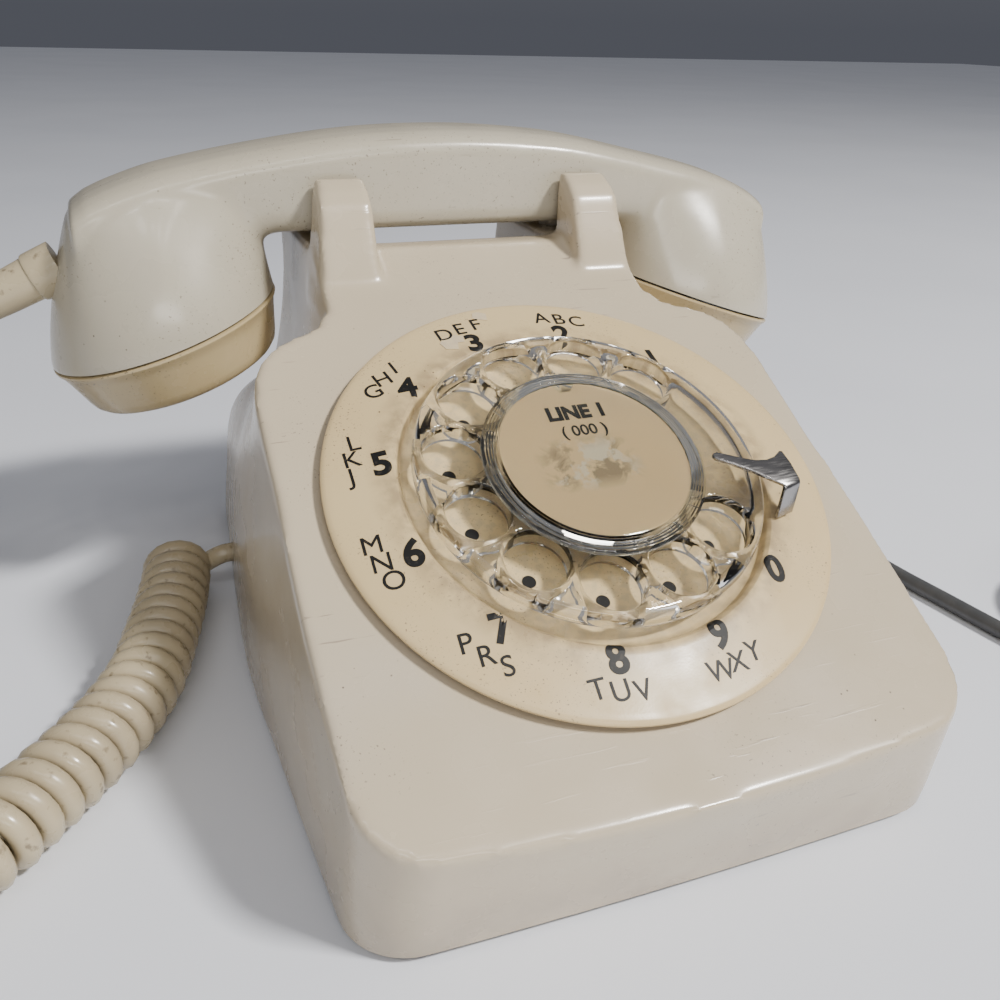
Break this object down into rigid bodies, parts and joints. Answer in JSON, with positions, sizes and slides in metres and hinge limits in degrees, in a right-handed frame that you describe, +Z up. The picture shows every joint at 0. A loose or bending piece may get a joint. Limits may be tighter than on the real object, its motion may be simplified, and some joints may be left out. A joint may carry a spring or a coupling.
{
  "type": "rotary dial telephone",
  "caption": "Desk telephone with a tilted rotary dial under a clear finger wheel, a horned cradle with a hand grip, a curved handset with round end caps, a curly handset cord and a line cord.",
  "frame": {"origin": "centre of the telephone's plan box on the table, cords left out", "axes": "+X to the right of a person facing the dial, +Y to the back, +Z up"},
  "size_m": [0.4155, 0.2543, 0.1269],
  "materials": {
    "housing_plastic": "aged ivory moulding",
    "base_steel": "black-painted pressed steel",
    "foot_rubber": "moulded rubber",
    "screw_steel": "plated",
    "number_plate_plastic": "yellowed ivory with printed digits and letters",
    "clear_wheel": "clear moulded plastic, slightly dusty",
    "card_paper": "printed paper card, yellowed",
    "clear_disc": "clear moulded plastic with fine rings",
    "plated_steel": "zinc plated",
    "stop_steel": "polished, worn",
    "dial_zinc": "die-cast",
    "works_brass": "machined",
    "shaft_steel": "ground",
    "spring_steel": "blued wire",
    "cam_plastic": "brown laminate",
    "contact_metal": "nickel silver leaves",
    "plunger_plastic": "clear-white plastic",
    "coil_tape": "varnished tape",
    "core_iron": "soft iron",
    "magnet_iron": "bar magnet",
    "gong_brass": "lacquered",
    "network_plastic": "potted block",
    "terminal_brass": "screw heads",
    "handle_plastic": "greyed ivory moulding",
    "cap_plastic": "yellowed ivory moulding",
    "unit_metal": "pressed",
    "black_plastic": "black moulding",
    "cord_jacket": "glossy tan jacket",
    "line_relief_rubber": "moulded",
    "line_jacket": "dark grey jacket"
  },
  "bodies": {
    "telephone": {"housing": "housing_plastic", "base_plate": "base_steel", "feet": "foot_rubber", "housing_screws": "screw_steel", "number_plate": "number_plate_plastic", "finger_stop": "stop_steel", "dial_frame": "dial_zinc", "dial_bridge": "works_brass", "dial_brackets": "plated_steel", "return_spring": "spring_steel", "pulse_contacts": "contact_metal", "governor_cup": "dial_zinc", "hook_bracket": "plated_steel", "hook_pin": "shaft_steel", "hook_spring": "spring_steel", "hook_contacts": "contact_metal", "ringer_frame": "plated_steel", "ringer_coil": "coil_tape", "ringer_core": "core_iron", "ringer_magnet": "magnet_iron", "clapper_pin": "shaft_steel", "bias_spring": "spring_steel", "gong_left": "gong_brass", "gong_right": "gong_brass", "gong_screws": "screw_steel", "volume_pin": "shaft_steel", "network_block": "network_plastic", "network_screws": "terminal_brass", "handset_cord_upper": "cord_jacket", "handset_cord_curl": "cord_jacket", "handset_cord_lower": "cord_jacket", "line_relief": "line_relief_rubber", "line_cord": "line_jacket", "line_cord_coil": "line_jacket", "line_plug": "black_plastic"},
    "dial_rotor": {"finger_wheel": "clear_wheel", "number_card": "card_paper", "card_retainer": "clear_disc", "wheel_clamp": "plated_steel", "hub_screw": "screw_steel", "dial_shaft": "shaft_steel", "main_gear": "works_brass"},
    "intermediate": {"mid_shaft": "shaft_steel", "mid_gear": "works_brass", "pulse_cam": "cam_plastic"},
    "governor": {"governor_shaft": "shaft_steel", "governor_weights": "works_brass"},
    "hook": {"hook_lever": "plated_steel"},
    "left_plunger": {"plunger_left": "plunger_plastic"},
    "right_plunger": {"plunger_right": "plunger_plastic"},
    "clapper_arm": {"clapper": "plated_steel"},
    "volume_control": {"volume_wheel": "black_plastic"},
    "handset": {"handset_handle": "handle_plastic", "transmitter_cap": "cap_plastic", "transmitter_unit": "unit_metal", "transmitter_cup": "black_plastic", "receiver_cap": "cap_plastic", "receiver_unit": "unit_metal", "handset_relief": "cord_jacket"}
  },
  "joints": [
    {"name": "dial_turn", "type": "hinge", "parent": "telephone", "child": "dial_rotor", "pos_m": [0, -0.044, 0.07], "axis": [0, 0.4695, -0.8829], "range_deg": [0, 312], "stiffness_Nm_per_rad": 0.004, "springref_deg": -68.75},
    {"name": "mid_turn", "type": "hinge", "parent": "telephone", "child": "intermediate", "pos_m": [-0.02284, -0.04214, 0.04381], "axis": [0, 0.4695, -0.8829], "range_deg": [-1900, 0]},
    {"name": "governor_turn", "type": "hinge", "parent": "telephone", "child": "governor", "pos_m": [-0.00905, -0.04954, 0.03308], "axis": [0, 0.4695, -0.8829], "range_deg": [0, 7600]},
    {"name": "hook_turn", "type": "hinge", "parent": "telephone", "child": "hook", "pos_m": [0, 0.03, 0.076], "axis": [1, 0, 0], "range_deg": [0, 10.1]},
    {"name": "left_plunger_slide", "type": "slide", "parent": "telephone", "child": "left_plunger", "axis": [0, 0, 1], "range_m": [0, 0.0051]},
    {"name": "right_plunger_slide", "type": "slide", "parent": "telephone", "child": "right_plunger", "axis": [0, 0, 1], "range_m": [0, 0.0051]},
    {"name": "clapper_swing", "type": "hinge", "parent": "telephone", "child": "clapper_arm", "pos_m": [0, 0.066, 0.0175], "axis": [0, 0, 1], "range_deg": [-3, 3]},
    {"name": "volume_turn", "type": "hinge", "parent": "telephone", "child": "volume_control", "pos_m": [0.05, -0.005, 0.008], "axis": [0, 0, 1], "range_deg": [0, 100]},
    {"name": "handset_lift", "type": "slide", "parent": "telephone", "child": "handset", "axis": [0, 0, 1], "range_m": [0, 0.1]}
  ],
  "couplings": [
    {"joint": "mid_turn", "follows": "dial_turn", "ratio": -6},
    {"joint": "governor_turn", "follows": "dial_turn", "ratio": 24},
    {"joint": "hook_turn", "follows": "handset_lift", "rad_per_m": 1.74},
    {"joint": "left_plunger_slide", "follows": "handset_lift", "ratio": 0.05},
    {"joint": "right_plunger_slide", "follows": "handset_lift", "ratio": 0.05}
  ]
}
